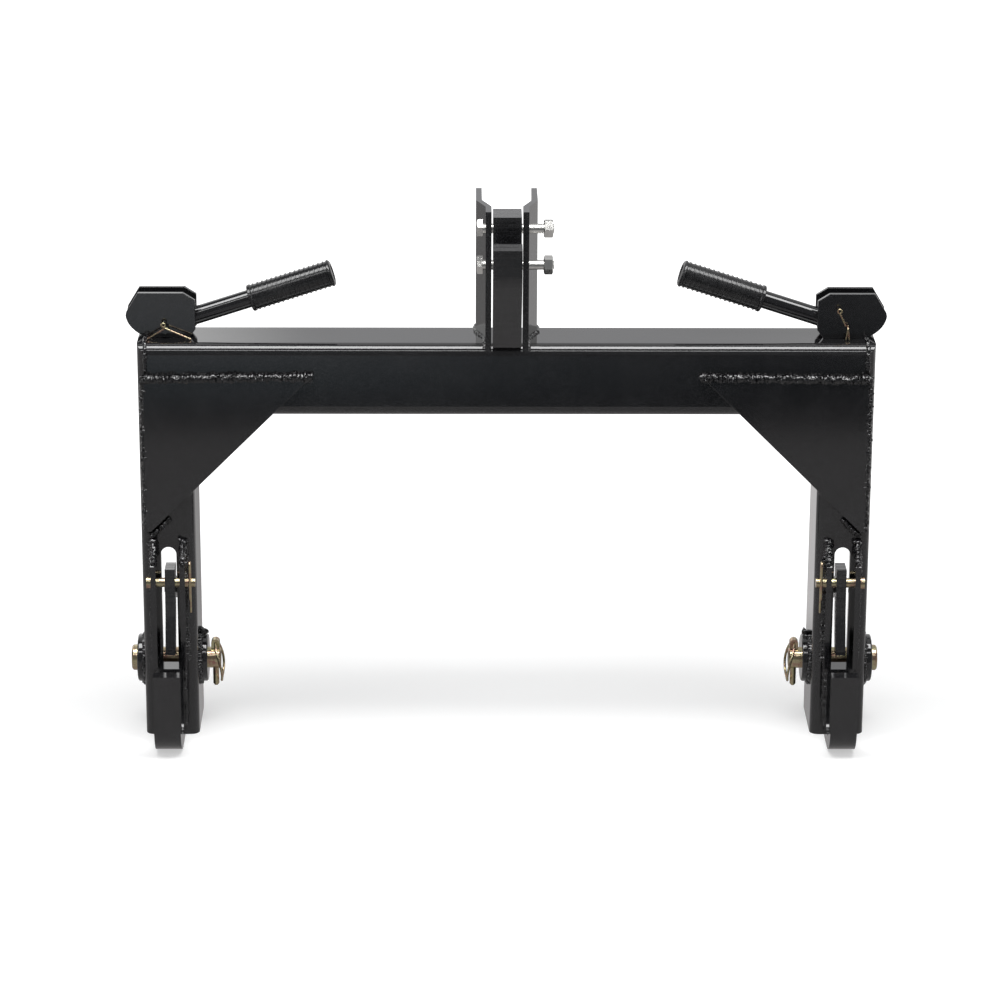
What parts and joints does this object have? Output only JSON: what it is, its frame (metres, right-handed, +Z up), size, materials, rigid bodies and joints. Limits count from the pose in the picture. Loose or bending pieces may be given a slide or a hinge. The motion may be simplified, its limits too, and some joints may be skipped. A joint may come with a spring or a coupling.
{
  "type": "three point quick hitch",
  "caption": "Welded three point quick hitch frame with a bolted top hook, lower hooks, and cam lever latches.",
  "frame": {"origin": "centre of the bounding box on the ground", "axes": "+X across the tractor to the picture's right, +Y from the implement side to the tractor side, +Z up"},
  "size_m": [0.7858, 0.173, 0.566],
  "materials": {
    "black_paint": "gloss",
    "bright_zinc": "satin",
    "yellow_zinc": "satin",
    "spring_wire": "satin",
    "plain_rod": "satin",
    "grip_rubber": "matte"
  },
  "bodies": {
    "frame": {"crossbeam": "black_paint", "upright_left": "black_paint", "upright_right": "black_paint", "gusset_left": "black_paint", "gusset_right": "black_paint", "mast_plate_left": "black_paint", "mast_plate_right": "black_paint", "top_hook": "black_paint", "top_hook_bolts": "bright_zinc", "top_hook_nuts": "bright_zinc", "ear_outer_left": "black_paint", "ear_inner_left": "black_paint", "ear_outer_right": "black_paint", "ear_inner_right": "black_paint", "lower_hook_left": "black_paint", "lower_hook_right": "black_paint", "link_boss_outer_left": "black_paint", "link_boss_inner_left": "black_paint", "link_boss_outer_right": "black_paint", "link_boss_inner_right": "black_paint", "latch_pivot_pin_left": "yellow_zinc", "latch_pivot_pin_right": "yellow_zinc", "latch_pivot_clip_left": "spring_wire", "latch_pivot_clip_right": "spring_wire", "latch_spring_left": "spring_wire", "latch_spring_right": "spring_wire", "link_pin_left": "yellow_zinc", "link_pin_right": "yellow_zinc", "linch_pin_left": "bright_zinc", "linch_pin_right": "bright_zinc"},
    "rod_left": {"link_rod_left": "plain_rod", "rod_collar_left": "plain_rod", "lever_pin_left": "bright_zinc", "lever_cotter_left": "spring_wire"},
    "lever_left": {"lever_cheek_front_left": "black_paint", "lever_cheek_rear_left": "black_paint", "lever_tube_left": "black_paint", "lever_grip_left": "grip_rubber"},
    "pawl_left": {"latch_pawl_left": "black_paint"},
    "linch_ring_left": {"linch_ring_left": "spring_wire"},
    "rod_right": {"link_rod_right": "plain_rod", "rod_collar_right": "plain_rod", "lever_pin_right": "bright_zinc", "lever_cotter_right": "spring_wire"},
    "lever_right": {"lever_cheek_front_right": "black_paint", "lever_cheek_rear_right": "black_paint", "lever_tube_right": "black_paint", "lever_grip_right": "grip_rubber"},
    "pawl_right": {"latch_pawl_right": "black_paint"},
    "linch_ring_right": {"linch_ring_right": "spring_wire"}
  },
  "joints": [
    {"name": "rod_left_slide", "type": "slide", "parent": "frame", "child": "rod_left", "axis": [0, 0, 1], "range_m": [0, 0.03975], "deforming": ["latch_spring_left"]},
    {"name": "lever_left_turn", "type": "hinge", "parent": "rod_left", "child": "lever_left", "pos_m": [-0.34925, 0.0285, 0.4359], "axis": [0, -1, 0], "range_deg": [0, 105]},
    {"name": "pawl_left_turn", "type": "hinge", "parent": "frame", "child": "pawl_left", "pos_m": [-0.34705, -0.0245, 0.1736], "axis": [1, 0, 0], "range_deg": [0, 57.9]},
    {"name": "linch_ring_left_turn", "type": "hinge", "parent": "frame", "child": "linch_ring_left", "pos_m": [-0.30485, 0.0235, 0.0895], "axis": [0, -1, 0], "range_deg": [0, 110]},
    {"name": "rod_right_slide", "type": "slide", "parent": "frame", "child": "rod_right", "axis": [0, 0, 1], "range_m": [0, 0.03975], "deforming": ["latch_spring_right"]},
    {"name": "lever_right_turn", "type": "hinge", "parent": "rod_right", "child": "lever_right", "pos_m": [0.34925, 0.0285, 0.4359], "axis": [0, 1, 0], "range_deg": [0, 105]},
    {"name": "pawl_right_turn", "type": "hinge", "parent": "frame", "child": "pawl_right", "pos_m": [0.34705, -0.0245, 0.1736], "axis": [1, 0, 0], "range_deg": [0, 57.9]},
    {"name": "linch_ring_right_turn", "type": "hinge", "parent": "frame", "child": "linch_ring_right", "pos_m": [0.30485, 0.0235, 0.0895], "axis": [0, 1, 0], "range_deg": [0, 110]}
  ],
  "couplings": [
    {"joint": "rod_left_slide", "follows": "lever_left_turn", "m_per_rad": 0.021663},
    {"joint": "pawl_left_turn", "follows": "lever_left_turn", "ratio": 0.54994},
    {"joint": "rod_right_slide", "follows": "lever_right_turn", "m_per_rad": 0.021663},
    {"joint": "pawl_right_turn", "follows": "lever_right_turn", "ratio": 0.54994}
  ]
}
